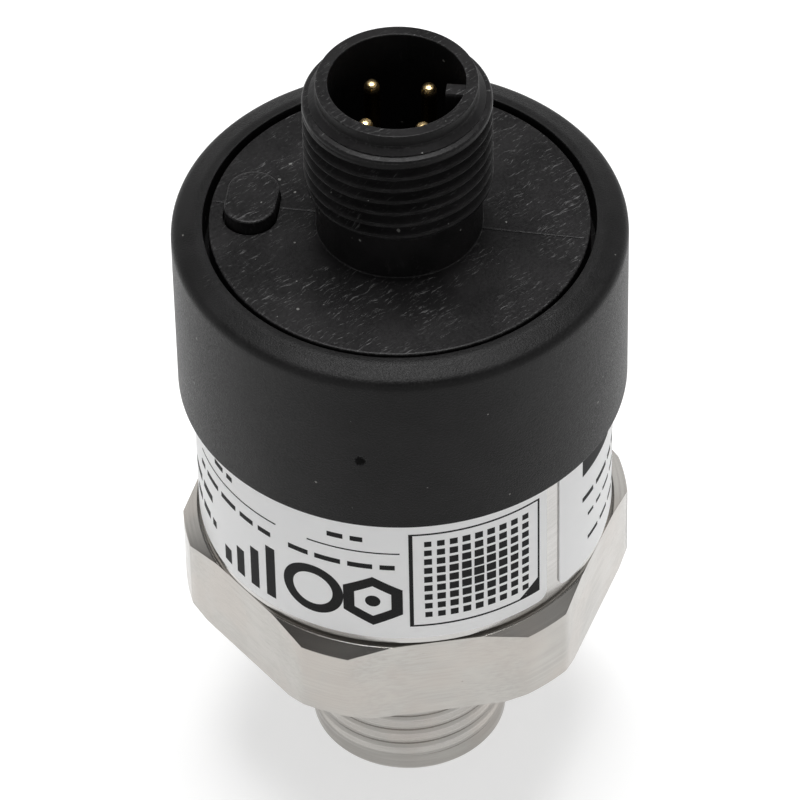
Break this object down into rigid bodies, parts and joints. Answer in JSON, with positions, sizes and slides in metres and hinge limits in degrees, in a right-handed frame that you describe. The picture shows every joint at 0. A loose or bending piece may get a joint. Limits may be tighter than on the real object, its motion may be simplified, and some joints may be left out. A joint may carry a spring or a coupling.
{
  "type": "pressure transmitter",
  "caption": "Stainless pressure transmitter with a hexagonal process port, a short tubular case under a wrap-round foil, and a black moulded head with a round threaded plug.",
  "frame": {"origin": "centre of the stem's end face, on the common axis", "axes": "+Z along the common axis from the process stem to the plug, +X square to one flat of the hexagon and through one contact"},
  "size_m": [0.0292, 0.0294, 0.0572],
  "materials": {
    "port_steel": "satin turned and milled stainless steel",
    "cell_steel": "fine turned stainless steel",
    "case_steel": "drawn stainless tube",
    "head_plastic": "fine-grained moulded black",
    "face_plastic": "fine-grained moulded black with flow marks",
    "label_foil": "white polyester foil",
    "seal_rubber": "matt black elastomer",
    "contact_gold": "gold plated",
    "post_brass": "bare turned",
    "carrier_plastic": "moulded glass-filled",
    "laminate": "coated glass-fibre laminate",
    "ribbon_film": "polyimide film",
    "gauge_layer": "thin insulating film with gauges",
    "chip_resin": "moulding resin",
    "ceramic_chip": "sintered",
    "can_metal": "drawn can",
    "membrane_film": "porous film"
  },
  "bodies": {
    "root": {"pressure_port": "port_steel", "thread_seal": "seal_rubber", "sensor_cell": "cell_steel", "strain_gauge": "gauge_layer", "board_carrier": "carrier_plastic", "sensor_board": "laminate", "gauge_foil": "ribbon_film", "signal_converter": "chip_resin", "filter_capacitor": "ceramic_chip", "flex_ribbon": "ribbon_film", "main_board": "laminate", "output_amplifier": "chip_resin", "surge_diode": "chip_resin", "buffer_capacitor": "can_metal", "choke": "chip_resin", "ground_post": "post_brass", "contact_pin_1": "contact_gold", "contact_pin_2": "contact_gold", "contact_pin_3": "contact_gold", "contact_pin_4": "contact_gold", "connector_face": "face_plastic", "vent_membrane": "membrane_film", "vent_cap": "face_plastic", "case_sleeve": "case_steel", "head_ring": "head_plastic", "case_seal": "seal_rubber", "face_seal": "seal_rubber", "name_label": "label_foil"}
  },
  "joints": []
}
